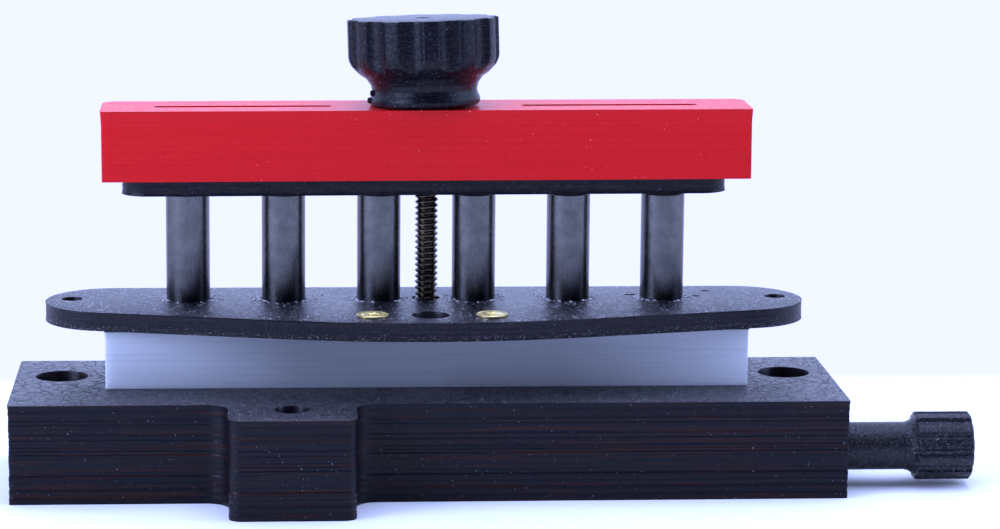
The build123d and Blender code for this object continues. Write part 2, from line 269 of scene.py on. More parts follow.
def blob(bm, place, size, seed, flat=1.0):
    """A small lumpy drop."""
    made = bmesh.ops.create_icosphere(bm, subdivisions=2, radius=1.0)["verts"]
    for vert in made:
        lump = 1 + 0.35 * noise.noise(vert.co * 1.7 + Vector((seed, seed, seed)))
        vert.co = Vector(place) + Vector((vert.co.x, vert.co.y, vert.co.z * flat)) * size * lump


def turned(bm, profile, count=72):
    """A body turned about Z from its (radius, height) profile, with flat ends."""
    rings = [[(radius * c, radius * s, z) for c, s in turns(count)] for radius, z in profile]
    skin(bm, rings)
    close_flat(bm, rings[0])
    close_flat(bm, rings[-1])


def threaded(bm, low, high, crest, root, pitch, count=48):
    """A right-hand threaded rod with a helical ridge that runs out at both ends.

    Its profile gives the radius at each part of a pitch."""
    profile = ((0.0, root), (0.44, crest), (0.54, crest), (0.98, root))
    laps = math.ceil((high - low) / pitch) + 1
    rows = []
    for lap in range(-1, laps):
        for part, radius in profile:
            row = []
            for k in range(count + 1):
                angle = 2 * math.pi * k / count
                z = min(high, max(low, low + (lap + part + k / count) * pitch))
                run_out = min(1.0, (z - low) / pitch, (high - z) / pitch)
                r = root + (radius - root) * run_out
                row.append(bm.verts.new((r * math.cos(angle), r * math.sin(angle), z)))
            rows.append(row)
    for lower, upper in zip(rows, rows[1:]):
        for k in range(count):
            bm.faces.new((lower[k], lower[k + 1], upper[k + 1], upper[k]))
    bmesh.ops.remove_doubles(bm, verts=bm.verts, dist=WELD)
    bmesh.ops.dissolve_degenerate(bm, edges=bm.edges, dist=SLIVER)
    bmesh.ops.holes_fill(bm, edges=[e for e in bm.edges if e.is_boundary])


def piece(name, build, material, body, stands_for=(), place=None, smooth=35, top=None):
    """One finished object: build(bm) fills a mesh in mm, which place may move.

    Edges sharper than smooth degrees stay sharp. Faces that look up take the top material, if any."""
    bm = bmesh.new()
    build(bm)
    bmesh.ops.remove_doubles(bm, verts=bm.verts, dist=WELD)
    bmesh.ops.recalc_face_normals(bm, faces=bm.faces)
    to_metres = Matrix.Scale(MM, 4) @ (place or Matrix.Identity(4))
    bmesh.ops.transform(bm, matrix=to_metres, verts=bm.verts)
    facing_up = 0.95
    for face in bm.faces:
        face.material_index = int(bool(top) and face.normal.z > facing_up)
    mesh = bpy.data.meshes.new(name)
    bm.to_mesh(mesh)
    bm.free()
    mesh.shade_smooth()
    mesh.set_sharp_from_angle(angle=math.radians(smooth))
    made = bpy.data.objects.new(name, mesh)
    bpy.context.scene.collection.objects.link(made)
    mesh.materials.append(material)
    if top:
        mesh.materials.append(top)
    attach(made, body)
    if stands_for:
        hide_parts(*stands_for)
    return made


def cut(target, build, place=None):
    """Takes a closed tool shape out of a finished piece."""
    bm = bmesh.new()
    build(bm)
    bmesh.ops.recalc_face_normals(bm, faces=bm.faces)
    to_metres = Matrix.Scale(MM, 4) @ (place or Matrix.Identity(4))
    bmesh.ops.transform(bm, matrix=to_metres, verts=bm.verts)
    mesh = bpy.data.meshes.new("cutter")
    bm.to_mesh(mesh)
    bm.free()
    cutter = bpy.data.objects.new("cutter", mesh)
    bpy.context.scene.collection.objects.link(cutter)
    modifier = target.modifiers.new("cut", "BOOLEAN")
    modifier.operation = "DIFFERENCE"
    modifier.solver = "EXACT"
    modifier.object = cutter
    depsgraph = bpy.context.evaluated_depsgraph_get()
    result = bpy.data.meshes.new_from_object(target.evaluated_get(depsgraph))
    target.modifiers.clear()
    target.data = result
    bpy.data.objects.remove(cutter)


# ---- Material helpers ----


def add(tree, kind, inputs=None, **settings):
    """Adds a shader node with its settings, its inputs set to values or linked to other outputs."""
    node = tree.nodes.new("ShaderNode" + kind)
    for key, value in settings.items():
        setattr(node, key, value)
    for key, value in (inputs or {}).items():
        if isinstance(value, bpy.types.NodeSocket):
            tree.links.new(value, node.inputs[key])
        else:
            node.inputs[key].default_value = value
    return node


def new_material(name):
    """A material with a principled shader, and a vector output that gives the place in mm."""
    material = bpy.data.materials.new(name)
    material.use_nodes = True
    tree = material.node_tree
    shader = tree.nodes["Principled BSDF"]
    place = add(tree, "TexCoord").outputs["Object"]
    place = add(tree, "VectorMath", {0: place, 1: (1 / MM,) * 3}, operation="MULTIPLY").outputs[0]
    return material, tree, shader, place


def stretched(tree, place, x, y, z):
    """The place with each axis scaled, for grain and bands that run one way."""
    return add(tree, "VectorMath", {0: place, 1: (x, y, z)}, operation="MULTIPLY").outputs[0]


def grain(tree, place, scale, detail=3.0, roughness=0.55):
    """A noise value from 0 to 1."""
    return add(
        tree,
        "TexNoise",
        {"Vector": place, "Scale": scale, "Detail": detail, "Roughness": roughness},
    ).outputs["Fac"]


def spread(tree, value, low, high, to_low=0.0, to_high=1.0):
    """A value stretched from low..high to a new range, and held there."""
    return add(
        tree,
        "MapRange",
        {"Value": value, "From Min": low, "From Max": high, "To Min": to_low, "To Max": to_high},
    ).outputs["Result"]


def blend_colour(tree, factor, first, second):
    """A colour between first and second."""
    node = add(tree, "Mix", data_type="RGBA")
    for socket, value in zip((node.inputs[0], node.inputs[6], node.inputs[7]), (factor, first, second)):
        if isinstance(value, bpy.types.NodeSocket):
            tree.links.new(value, socket)
        else:
            socket.default_value = value if isinstance(value, float) else (*value, 1.0)
    return node.outputs[2]


def bump(tree, shader, height, depth_mm, strength=1.0):
    """Fine relief of the given depth."""
    node = add(tree, "Bump", {"Height": height, "Distance": depth_mm * MM, "Strength": strength})
    previous = shader.inputs["Normal"].links
    if previous:
        tree.links.new(previous[0].from_socket, node.inputs["Normal"])
    tree.links.new(node.outputs["Normal"], shader.inputs["Normal"])


def tint_over(material, factor, colour):
    """Lays a colour over the material's own, as far as the factor says."""
    tree = material.node_tree
    own = tree.nodes["Principled BSDF"].inputs["Base Color"]
    tree.links.new(blend_colour(tree, factor, own.links[0].from_socket, colour), own)


def crack_lines(tree, place, width):
    """Dull lines between flakes of a skin: 0.75 on a line, and 0 from width away."""
    drift = add(tree, "TexNoise", {"Vector": place, "Scale": 0.5, "Detail": 2.0}).outputs["Color"]
    drifted = add(tree, "VectorMath", {0: drift, 1: (2.4,) * 3, 2: place}, operation="MULTIPLY_ADD")
    flakes = {"Vector": drifted.outputs[0], "Scale": 0.42}
    edge = add(tree, "TexVoronoi", flakes, feature="DISTANCE_TO_EDGE").outputs["Distance"]
    return spread(tree, edge, 0.0, width, 0.75, 0.0)


def printed_plastic(
    name, colour, band_colour, speck_colour, rough, crust, gloss, flecks=0.0, cracks=0.0
):
    """Layered plastic: bands of layers in two colours, pale dust specks, and a crusty grain crust mm deep.

    Flecks is how far pale crumbs tint it, and cracks is how wide the dull lines between its flakes are. On
    the top materials the pale specks and flecks are partly painted sheen."""
    material, tree, shader, place = new_material(name)
    bands = grain(tree, stretched(tree, place, 0.015, 0.015, 1.0), 1.9, 3.0, 0.7)
    tint = blend_colour(tree, spread(tree, bands, 0.52, 0.58), colour, band_colour)
    dust = grain(tree, place, 2.6, 1.0)
    tint = blend_colour(tree, spread(tree, dust, 0.765, 0.79), tint, speck_colour)
    if flecks:
        crumbs = grain(tree, stretched(tree, place, 1.0, 0.3, 1.0), 1.8, 3.0, 0.75)
        tint = blend_colour(tree, spread(tree, crumbs, 0.57, 0.65, 0.0, flecks), tint, speck_colour)
    tree.links.new(tint, shader.inputs["Base Color"])
    mottle = grain(tree, place, 0.9, 4.0, 0.7)
    roughness = spread(tree, mottle, 0.3, 0.7, rough - 0.08, rough + 0.1)
    if cracks:
        dull = crack_lines(tree, place, cracks)
        roughness = add(tree, "Math", {0: roughness, 1: dull}, operation="MAXIMUM").outputs[0]
    tree.links.new(roughness, shader.inputs["Roughness"])
    relief = grain(tree, stretched(tree, place, 0.7, 1.3, 1.0), 1.3, 4.0, 0.65)
    bump(tree, shader, relief, crust)
    bump(tree, shader, grain(tree, place, 5.5, 2.0), crust * 0.3)
    shader.inputs["Specular IOR Level"].default_value = gloss
    return material


def metal(name, colour, dark, rough, streak, depth=0.004, metallic=1.0):
    """Worn metal: mottled colour, and fine marks depth mm deep, stretched along each axis by streak."""
    material, tree, shader, place = new_material(name)
    mottle = grain(tree, place, 0.35, 5.0, 0.7)
    tint = blend_colour(tree, spread(tree, mottle, 0.35, 0.65), dark, colour)
    tree.links.new(tint, shader.inputs["Base Color"])
    marks = grain(tree, stretched(tree, place, *streak), 2.0, 4.0, 0.7)
    roughness = spread(tree, marks, 0.3, 0.7, rough - 0.05, rough + 0.08)
    tree.links.new(roughness, shader.inputs["Roughness"])
    bump(tree, shader, marks, depth)
    shader.inputs["Metallic"].default_value = metallic
    return material


# ---- Black plastic: each wall has its own, and the faces that look up have a glossier, crustier one, whose paler specks are dust and painted sheen ----
INK = (0.003, 0.003, 0.006)
BROWN_INK = (0.017, 0.005, 0.004)
WARM_INK = (0.008, 0.006, 0.007)
DUST = (0.22, 0.22, 0.24)
PALE_DUST_AND_SHEEN = (0.4, 0.4, 0.42)

black = printed_plastic(
    "printed_black", INK, BROWN_INK, DUST, rough=0.38, crust=0.03, gloss=0.17
)
# On the three top materials below, the pale specks and flecks are partly dust and partly painted sheen.
black_top_dust_and_sheen = printed_plastic(
    "printed_black_top", INK, INK, PALE_DUST_AND_SHEEN, rough=0.29, crust=0.25, gloss=1.0, flecks=0.2, cracks=0.14
)
black_plate = printed_plastic(
    "plate_black", INK, (0.008, 0.006, 0.009), DUST, rough=0.38, crust=0.08, gloss=0.2, flecks=0.05
)
plate_top_dust_and_sheen = printed_plastic(
    "plate_black_top", INK, INK, (0.65, 0.65, 0.68), rough=0.28, crust=0.25, gloss=0.55, flecks=0.35
)
black_knob = printed_plastic(
    "knob_black", INK, WARM_INK, (0.3, 0.3, 0.32), rough=0.24, crust=0.12, gloss=0.16, flecks=0.08
)
side_black = printed_plastic(
    "side_knob_black", INK, WARM_INK, (0.35, 0.35, 0.38), rough=0.25, crust=0.2, gloss=0.35, flecks=0.2
)
knob_top_dust_and_sheen = printed_plastic(
    "knob_black_top", INK, INK, PALE_DUST_AND_SHEEN, rough=0.28, crust=0.15, gloss=0.5, flecks=0.3
)


def crumbs_at_lower_edge(material, level):
    """Pale crumbs, most of them in the millimetre above a level."""
    tree = material.node_tree
    place = add(tree, "TexCoord").outputs["Object"]
    height = add(tree, "SeparateXYZ", {0: place}).outputs["Z"]
    at_edge = spread(tree, height, level + 0.3 * MM, level + 1.3 * MM, 1.0, 0.1)
    crumbs = spread(tree, grain(tree, place, 3.2 / MM, 3.0, 0.7), 0.58, 0.66)
    shown = add(tree, "Math", {0: at_edge, 1: crumbs}, operation="MULTIPLY").outputs[0]
    tint_over(material, shown, (0.22, 0.21, 0.19))


crumbs_at_lower_edge(black_plate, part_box("guide_plate")[0].z)

# ---- Coloured plastic and glue ----
white = printed_plastic(
    "spacer_white",
    (0.66, 0.69, 0.72),
    (0.61, 0.64, 0.67),
    (0.5, 0.53, 0.58),
    rough=0.42,
    crust=0.01,
    gloss=0.3,
)
red = printed_plastic(
    "bar_red",
    (0.63, 0.005, 0.007),
    (0.60, 0.004, 0.006),
    (1.0, 0.5, 0.5),
    rough=0.42,
    crust=0.03,
    gloss=0.18,
)
# Painted light: the bar's top is the same red plastic painted a lighter red, and its pale pink specks are
# painted sheen.
red_top_painted_light = printed_plastic(
    "bar_red_top",
    (0.90, 0.02, 0.02),
    (0.86, 0.02, 0.02),
    (1.0, 0.6, 0.6),
    rough=0.34,
    crust=0.12,
    gloss=0.6,
    flecks=0.15,
)
# The glue's pale grey is partly its own colour and partly painted reflection of the bright backdrop.
glue = printed_plastic(
    "dried_glue_with_painted_sheen",
    (0.45, 0.45, 0.48),
    (0.30, 0.30, 0.34),
    (0.7, 0.7, 0.75),
    rough=0.25,
    crust=0.05,
    gloss=0.5,
)


def scatter_light_and_paint_shade(material, middle_end, dimmed_end):
    """Light scatters inside the plastic, and painted shade makes it dimmer in the middle than towards its
    two ends.
    """
    tree = material.node_tree
    across = add(tree, "SeparateXYZ", {0: add(tree, "TexCoord").outputs["Object"]}).outputs["X"]
    from_middle = add(tree, "Math", {0: across}, operation="ABSOLUTE").outputs[0]
    painted_middle_shade = spread(tree, from_middle, middle_end * MM, dimmed_end * MM, 0.5, 0.0)
    # painted shade: a dark tint over the middle of the block
    tint_over(material, painted_middle_shade, (0.05, 0.055, 0.06))
    shader = tree.nodes["Principled BSDF"]
    shader.inputs["Subsurface Weight"].default_value = 0.4
    shader.inputs["Subsurface Scale"].default_value = 0.004
    shader.inputs["Subsurface Radius"].default_value = (1.0, 1.0, 1.0)


# The white block's middle gets painted shade.
scatter_light_and_paint_shade(white, 24, 58)

# ---- Metal ----
EVEN = (1.0, 1.0, 1.0)
steel = metal("post_steel", (0.125, 0.12, 0.115), (0.085, 0.085, 0.082), 0.24, (1.5, 1.5, 0.3), 0.006)
oxide = metal("black_oxide", (0.17, 0.14, 0.10), (0.05, 0.045, 0.04), 0.26, EVEN)
zinc = metal("zinc_steel", (0.6, 0.61, 0.63), (0.45, 0.46, 0.48), 0.35, EVEN)
brass = metal("screw_brass", (1.0, 0.88, 0.38), (0.90, 0.74, 0.25), 0.30, EVEN, 0.03, metallic=0.75)


def paint_shade_above(material, level, reach):
    """Painted shade that is darkest at a level and fades upward from it, stronger on the side that faces
    right.
    """
    tree = material.node_tree
    where = add(tree, "TexCoord").outputs
    height = add(tree, "SeparateXYZ", {0: where["Object"]}).outputs["Z"]
    facing = add(tree, "SeparateXYZ", {0: where["Normal"]}).outputs["X"]
    low_down = spread(tree, height, level, level + reach * MM, 1.0, 0.0)
    side = spread(tree, facing, -0.3, 0.3, 0.35, 0.95)
    painted_post_shade = add(tree, "Math", {0: low_down, 1: side}, operation="MULTIPLY").outputs[0]
    # painted shade laid over the posts' own colour
    tint_over(material, painted_post_shade, (0.015, 0.015, 0.02))


# The posts get painted shade above the guide plate.
paint_shade_above(steel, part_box("guide_plate")[1].z, 11)


# ---- base_block ----
base_low, base_high = box_mm("base_block")
base_front = -25.75
boss_left, boss_right = -36.4, -13.6
root_fillet, boss_corner, base_corner = 4.0, 2.4, 0.6
end_hole_x, end_hole_radius = 67.0, 4.65
boss_hole, boss_hole_radius = (-25.0, -29.75), 3.0
screw_room, screw_hole_bottom = 2.5, 6.0
spacer_screws = [(x, 6.0) for x in (-50, -17.5, 17.5, 50)]
spacer_screw_room, spacer_head_room, spacer_head_depth = 2.15, 4.2, 2.2
stone_pocket = [(-50, -23.5), (52, -23.5), (52, -5), (-50, -5)]
nut_slot = [(57.4, -18.35), (61.6, -18.35), (61.6, -10.15), (57.4, -10.15)]
stone_pocket_height, nut_slot_height = 10.0, 11.82
side_axis = Matrix.Translation((0, -14.25, 7.1)) @ Matrix.Rotation(math.pi / 2, 4, "Y")
side_bore = [(2.7, 51.0), (2.7, 64.4), (4.75, 64.4), (4.75, 77.0)]


def build_base(bm):
    front = base_low.y
    outline = rounded(
        [
            (base_low.x, base_front, base_corner),
            (boss_left, base_front, root_fillet),
            (boss_left, front, boss_corner),
            (boss_right, front, boss_corner),
            (boss_right, base_front, root_fillet),
            (base_high.x, base_front, base_corner),
            (base_high.x, base_high.y, base_corner),
            (base_low.x, base_high.y, base_corner),
        ],
        spacing=0.9,
    )
    top = base_high.z
    walls = printed_wall(outline, 0.0, top, 0.015, 0.055, lip=0.1, lip_height=2.4, rough=0.03)
    rim = ((0, 0.15), (0.3, 0), (top - 0.4, 0), (top, 0.2))
    holes = [
        hole((x, 0), [(z, end_hole_radius + flare) for z, flare in rim]) for x in (-end_hole_x, end_hole_x)
    ]
    holes.append(hole(boss_hole, [(z, boss_hole_radius + flare) for z, flare in rim]))
    countersunk = (
        (0, spacer_head_room),
        (spacer_head_depth, spacer_screw_room),
        (top - 0.3, spacer_screw_room),
    )
    holes += [hole(at, countersunk) for at in spacer_screws]
    holes.append(hole((0, 0), ((screw_hole_bottom, screw_room), (top, screw_room))))
    for corners, height in ((stone_pocket, stone_pocket_height), (nut_slot, nut_slot_height)):
        outline = rounded([(x, y, 0) for x, y in corners], 9.0)
        holes.append(upright(outline, 0, height))
    solid(bm, walls, holes)


base = piece("base_printed", build_base, black, "root", ["base_block"], top=black_top_dust_and_sheen)
cut(base, lambda bm: turned(bm, side_bore, 64), side_axis)

# ---- spacer_block: left solid, with none of the bore, nut pocket and post sockets that its CAD has ----
spacer_low, spacer_high = box_mm("spacer_block")


def build_spacer(bm):
    outline = rounded(
        [
            (spacer_low.x, spacer_low.y, 0.5),
            (spacer_high.x, spacer_low.y, 0.5),
            (spacer_high.x, spacer_high.y, 0.5),
            (spacer_low.x, spacer_high.y, 0.5),
        ],
        1.5,
    )
    walls = printed_wall(outline, spacer_low.z, spacer_high.z, 0.04, 0.01, lip=0.1, lip_height=1.0)
    solid(bm, walls)


piece("spacer_printed", build_spacer, white, "root", ["spacer_block"])

# ---- guide_plate: the posts run through it, without holes ----
plate_low, plate_high = box_mm("guide_plate")
plate_end_radius, plate_front_radius = 12.5, 110.0
plate_hole_x, plate_hole_radius = 65, 1.85
front_hole_y, front_hole_radius = -17.4, 3.3
brass_thread_room, brass_head_room, brass_head_depth = 1.53, 2.8, 1.15
post_xs = [middle(f"guide_post_{n}")[0] for n in range(1, 7)]
brass_spots = [middle(f"plate_screw_{side}") for side in ("left", "right")]
pit_depth = 0.6
pits = [
    (post_xs[5] - 5.4, 2.0, 1.3, 0.6),
    (post_xs[5] + 5.8, 0.4, 1.7, 0.7),
    (post_xs[5] + 9.0, 5.6, 0.9, 0.5),
]


def pit(x, y, long, short, top):
    """Rings of a ragged oval pit, narrower at its floor."""
    mouth = []
    for p in circle(1.0, count=14):
        ragged = 0.2 * noise.noise((3 * p.x, x, 0))
        mouth.append(Vector((x + long * p.x, y + short * p.y + ragged)))
    floor = [p.lerp(Vector((x, y)), 0.3) for p in mouth]
    return [[(*p, top - pit_depth) for p in floor], [(*p, top) for p in mouth]]


def build_plate(bm):
    half, back, front = plate_high.x, plate_high.y, plate_low.y
    end_x, end_y = half - plate_end_radius, back - plate_end_radius
    bulge_y = front + plate_front_radius
    run = math.hypot(end_x, bulge_y - end_y)
    slope = math.atan2(end_x, bulge_y - end_y) - math.acos((plate_front_radius - plate_end_radius) / run)
    tip_y = bulge_y - plate_front_radius / math.cos(slope)
    side_y = tip_y + half * math.tan(slope)
    outline = rounded(
        [
            (0, tip_y, plate_front_radius),
            (half, side_y, plate_end_radius),
            (half, back, plate_end_radius),
            (-half, back, plate_end_radius),
            (-half, side_y, plate_end_radius),
        ],
        0.9,
    )
    bottom, top = plate_low.z, plate_high.z
    walls = printed_wall(outline, bottom, top, 0.02, 0.02, lip=0.08, lip_height=0.5, foot=0.12, rough=0.09)
    rim = ((bottom, 0.12), (bottom + 0.3, 0), (top - 0.3, 0), (top, 0.12))
    holes = []
    for x in (-plate_hole_x, plate_hole_x):
        holes.append(hole((x, 0), [(z, plate_hole_radius + flare) for z, flare in rim]))
    holes.append(hole((0, front_hole_y), [(z, front_hole_radius + flare) for z, flare in rim]))
    holes.append(hole((0, 0), [(z, screw_room + flare) for z, flare in rim]))
    countersunk = (
        (bottom, brass_thread_room),
        (top - brass_head_depth, brass_thread_room),
        (top, brass_head_room),
    )
    holes += [hole(at, countersunk, 40) for at in brass_spots]
    holes += [pit(*size, top) for size in pits]
    solid(bm, walls, holes)


piece(
    "guide_plate_printed",
    build_plate,
    black_plate,
    "root",
    ["guide_plate"],
    top=plate_top_dust_and_sheen,
)

# ---- guide posts, with the glue at their feet and the black collars at their tops ----
top_low, top_high = box_mm("top_plate")
post_chamfer, glue_blobs = 0.3, 60


def build_post(bm, low, high, radius):
    run = high - low - 2 * post_chamfer
    steps = [low + post_chamfer + run * k / 12 for k in range(13)]
    ends = [(radius - post_chamfer, low), (radius - post_chamfer, high)]
    turned(bm, [ends[0], *((radius, z) for z in steps), ends[1]], 96)


def build_glue(bm, radius, seed):
    """Drops to the left and right of a post, smaller further from it."""
    for k in range(glue_blobs):
        side = math.pi if k % 2 else 0.0
        angle = random.gauss(side, 0.6)
        away = radius + abs(random.gauss(0, 1.1))
        size = random.uniform(0.12, 0.42) * min(1.0, 1.5 * radius / (away + 0.5 * radius))
        place = (away * math.cos(angle), away * math.sin(angle) - 0.3, plate_high.z)
        blob(bm, place, size, seed + k * 0.37, 0.5)


def build_collar(bm, radius, flare, with_drop):
    top = top_low.z + 0.02
    turned(bm, [(radius - 0.4, top - 0.5), (radius + 0.12, top - 0.4), (radius + flare, top)], 48)
    if with_drop:
        blob(bm, (radius + 0.8, -0.5, top - 0.3), 0.8, 2.0, 0.7)


for number, x in enumerate(post_xs, start=1):
    node = f"guide_post_{number}"
    low, high = box_mm(node)
    radius = (high.x - low.x) / 2
    flare = 0.9 if number == len(post_xs) else 0.45
    there = Matrix.Translation((x, 0, 0))
    piece(
        f"post_{number}",
        lambda bm: build_post(bm, low.z, high.z, radius),
        steel,
        "root",
        [node],
        there,
    )
    piece(
        f"post_glue_{number}",
        lambda bm: build_glue(bm, radius, number),
        glue,
        "root",
        place=there,
    )
    piece(
        f"post_collar_{number}",
        lambda bm: build_collar(bm, radius, flare, with_drop=number == 1),
        black,
        "root",
        place=there,
    )

# ---- top_plate: it and the bar on it sit a little lower on the left ----
slack = Matrix.Rotation(math.radians(-0.25), 4, "Y")


def build_top_plate(bm):
    r = top_high.y
    corners = ((top_low.x, -r), (top_high.x, -r), (top_high.x, r), (top_low.x, r))
    outline = rounded([(*corner, r) for corner in corners], 0.9)
    walls = printed_wall(outline, top_low.z, top_high.z, 0.02, 0.02, foot=0.15, rough=0.09)
    solid(bm, walls, [hole((0, 0), ((top_low.z, screw_room), (top_high.z, screw_room)))])


piece(
    "top_plate_printed",
    build_top_plate,
    black_plate,
    "root",
    ["top_plate"],
    slack,
    top=plate_top_dust_and_sheen,
)

# ---- clamp_bar ----
bar_low, bar_high = box_mm("clamp_bar")
bar_back_corner, bar_front_corner = 2.5, 0.5
slot_x, slot_y, slot_length, slot_width, slot_depth = 33.5, -0.7, 32.5, 2.0, 6.0
clip_room, clip_pocket = 4.6, 1.6


def build_bar(bm):
    outline = rounded(
        [
            (bar_low.x, bar_low.y, bar_front_corner),
            (bar_high.x, bar_low.y, bar_front_corner),
            (bar_high.x, bar_high.y, bar_back_corner),
            (bar_low.x, bar_high.y, bar_back_corner),
        ],
        1.5,
    )
    walls = printed_wall(outline, bar_low.z, bar_high.z, 0.012, 0.008, lip=0.2, lip_height=3.0)
    holes = []
    half, r = slot_length / 2, slot_width / 2
    front, back = slot_y - r, slot_y + r
    for x in (-slot_x, slot_x):
        corners = ((x - half, front), (x + half, front), (x + half, back), (x - half, back))
        outline = rounded([(*corner, r) for corner in corners], 3.0)
        holes.append(upright(outline, bar_high.z - slot_depth, bar_high.z))
    ceiling = bar_low.z + clip_pocket
    bore = (
        (bar_low.z, clip_room),
        (ceiling, clip_room),
        (ceiling, screw_room),
        (bar_high.z, screw_room),
    )
    holes.append(hole((0, 0), bore))
    solid(bm, walls, holes)


bar_middle = Matrix.Translation((0, 0, (bar_low.z + bar_high.z) / 2))
bar_place = bar_middle @ slack @ bar_middle.inverted()
piece(
    "clamp_bar_printed",
    build_bar,
    red,
    "clamp_bar",
    ["clamp_bar"],
    bar_place,
    top=red_top_painted_light,
)

# ---- clamp_knob: it leans back and to the left on its screw, so its foot dips into the bar ----
knob_low, _ = box_mm("clamp_knob")
knob_height, knob_radius = 15.8, 13.85
knob_ledge = 5.2
flute_count, flute_start = 12, 18.25
flute_centre, flute_radius, flute_rounding = 15.67, 3.0, 0.2
washer_room, washer_depth, rod_room, rod_depth = 4.8, 1.0, 2.21, knob_height - 0.5
knob_marks = [
    (0, 9.75),
    (0.3, 10.05),
    (0.9, 10.15),
    (1.5, 10.0),
    (2.1, 9.72),
    (2.8, 9.62),
    (3.8, 9.85),
    (5.1, 10.75),
    (5.2, 11.0),
    (5.7, 11.75),
    (6.3, 12.4),
    (7.3, 13.3),
    (8.3, 13.75),
    (9.0, knob_radius),
]
knob_lean = Euler((math.radians(-3.2), math.radians(-1.7), 0)).to_matrix().to_4x4()
knob_place = Matrix.Translation((-0.35, -0.5, knob_low.z + 0.12)) @ knob_lean


def knob_radius_at(z):
    """Radius of the knob's outline at a height above its foot."""
    for (z0, r0), (z1, r1) in zip(knob_marks, knob_marks[1:]):
        if z <= z1:
            return r0 + (r1 - r0) * max(0.0, z - z0) / (z1 - z0)
    return knob_radius


def knob_ring(z, shrink):
    """The knob's outline at a height, drawn in by shrink, with its flutes above the ledge."""
    steps = flute_count * 36
    points = []
    for k in range(steps):
        degrees = flute_start + 360 * k / steps
        angle = math.radians(degrees)
        r = knob_radius_at(z)
        if z >= knob_ledge:
            r = fluted(r, degrees, flute_count, flute_start, flute_centre, flute_radius, flute_rounding)
        r -= shrink + 0.02 * noise.noise((r * math.cos(angle), degrees * 0.3, z * 3))
        points.append((r * math.cos(angle), r * math.sin(angle), z))
    return points


def build_knob(bm):
    layers = round(knob_height / LAYER)
    heights = [k * knob_height / layers / 2 for k in range(2 * layers - 1)]
    heights += [knob_ledge - 0.05, knob_ledge]
    rings = [knob_ring(z, 0.02 if k % 2 else 0.0) for k, z in enumerate(sorted(heights))]
    rings += [knob_ring(knob_height - 0.1, 0.05), knob_ring(knob_height, 0.35)]
    bore = [
        (0, washer_room),
        (washer_depth, washer_room),
        (washer_depth, rod_room),
        (rod_depth, rod_room),
        (rod_depth, 1.3),
        (knob_height, 1.4),
    ]
    solid(bm, rings, [hole((0, 0), bore, 40)])
    blob(bm, (-10.0, -1.0, 1.1), 0.6, 1.0)
    blob(bm, (-9.6, -1.6, 2.4), 0.55, 4.0)


piece(
    "knob_printed",
    build_knob,
    black_knob,
    "clamp_knob",
    ["clamp_knob"],
    knob_place,
    top=knob_top_dust_and_sheen,
)

# ---- clamp_screw ----
rod_low, rod_high = box_mm("clamp_screw")
rod_crest, rod_root, rod_pitch = 2.12, 1.58, 1.06
rod_short_of_top = 2.0
piece(
    "clamp_screw_threaded",
    lambda bm: threaded(bm, rod_low.z, rod_high.z - rod_short_of_top, rod_crest, rod_root, rod_pitch),
    oxide,
    "clamp_knob",
    ["clamp_screw"],
)

# ---- brass screws: a countersunk head with a rim, a raised middle and a cross recess ----
cross_arm, cross_half, cross_depth, cross_taper = 1.25, 0.28, 0.4, 0.7
brass_turn = Matrix.Rotation(1.2, 4, "Z")


def build_brass(bm, low, top):
    profile = [
        (1.2, low),
        (1.5, low + 0.3),
        (1.5, top - 1.5),
        (2.80, top - 0.34),
        (2.85, top - 0.28),
        (2.85, top - 0.1),
        (2.74, top - 0.02),
        (2.55, top - 0.03),
        (2.35, top - 0.16),
        (2.1, top - 0.16),
        (1.9, top - 0.02),
        (1.6, top),
    ]
    rings = [[(r * c, r * s, z) for c, s in turns(64)] for r, z in profile]
    corners = ((cross_half, -cross_half), (cross_arm, -cross_half), (cross_arm, cross_half))
    cross = [(x * c - y * s, x * s + y * c) for c, s in turns(4) for x, y in corners]
    recess = [
        [(x * size, y * size, z) for x, y in cross]
        for z, size in ((top - cross_depth, cross_taper), (top, 1.0))
    ]
    solid(bm, rings, [recess])


for side, (x, y) in zip(("left", "right"), brass_spots):
    node = f"plate_screw_{side}"
    low, high = box_mm(node)
    piece(
        f"brass_screw_{side}",
        lambda bm: build_brass(bm, low.z, high.z),
        brass,
        "root",
        [node],
        Matrix.Translation((x, y, 0)) @ brass_turn,
    )

# ---- side_knob: printed standing on its head, so its layers go round it ----
side_left, side_right = (corner.x for corner in box_mm("side_knob"))
shank_radius, head_radius, head_left = 4.4, 6.25, 89.2
side_flute_count, side_flute_start = 12, -88.0
side_flute_centre, side_flute_radius, side_flute_rounding = 6.45, 0.85, 0.35
side_ring_spacing = 0.16
side_marks = [
    (side_left, 4.2),
    (side_left + 0.2, shank_radius),
    (87.2, shank_radius),
    (88.0, 4.55),
    (88.7, 4.95),
    (89.15, 5.45),
    (head_left, 6.0),
    (head_left + 0.2, head_radius),
    (side_right - 0.25, head_radius),
    (side_right, head_radius - 0.3),
]
side_flutes = (
    side_flute_count,
    side_flute_start,
    side_flute_centre,
    side_flute_radius,
    side_flute_rounding,
)


def build_side_knob(bm):
    levels = []
    for (x0, r0), (x1, r1) in zip(side_marks, side_marks[1:]):
        cuts = max(1, round((x1 - x0) / side_ring_spacing))
        levels += [(x0 + (x1 - x0) * k / cuts, r0 + (r1 - r0) * k / cuts) for k in range(cuts)]
    levels.append(side_marks[-1])
    walls = []
    for k, (x, radius) in enumerate(levels):
        points = []
        for c, s in turns(side_flute_count * 24):
            out = radius
            if x >= head_left - 0.3:
                out = fluted(radius, math.degrees(math.atan2(s, c)), *side_flutes)
            out -= 0.05 * (k % 2) + 0.08 * max(0.0, noise.noise((c * 9, s * 9, x * 2.5)))
            points.append((out * c, out * s, x))
        walls.append(points)
    solid(bm, walls)


